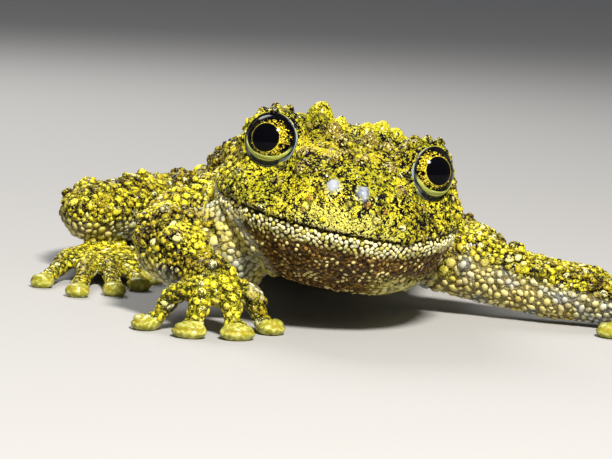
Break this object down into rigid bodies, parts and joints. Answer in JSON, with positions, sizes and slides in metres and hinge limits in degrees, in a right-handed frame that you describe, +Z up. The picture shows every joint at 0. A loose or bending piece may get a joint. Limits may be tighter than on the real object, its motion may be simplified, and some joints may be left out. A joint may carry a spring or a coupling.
{
  "type": "vietnamese mossy frog",
  "caption": "Life-size still model of a Vietnamese mossy frog at rest, chest raised on its arms, with warty moss-green skin, large eyes and broad toe discs.",
  "frame": {"origin": "on the floor, under the middle of the model's box", "axes": "+Z up; the frog faces -Y; +X is its left side"},
  "size_m": [0.0932, 0.0876, 0.0274],
  "materials": {
    "skin": "damp, granular skin, yellow-green with black mottling",
    "throat": "damp, finely wrinkled skin, brownish grey with pale granules",
    "digits": "smooth, moist skin, glossier on the discs",
    "eye": "wet, gold iris with black net and black pupil"
  },
  "bodies": {
    "root": {"head": "skin", "torso": "skin", "upper_arm_right": "skin", "upper_arm_left": "skin", "forearm_right": "skin", "forearm_left": "skin", "thigh_right": "skin", "thigh_left": "skin", "shank_right": "skin", "shank_left": "skin", "tarsus_right": "skin", "tarsus_left": "skin", "jaw": "throat", "hand_right": "digits", "hand_left": "digits", "foot_right": "digits", "foot_left": "digits", "eye_right": "eye", "eye_left": "eye"}
  },
  "joints": []
}
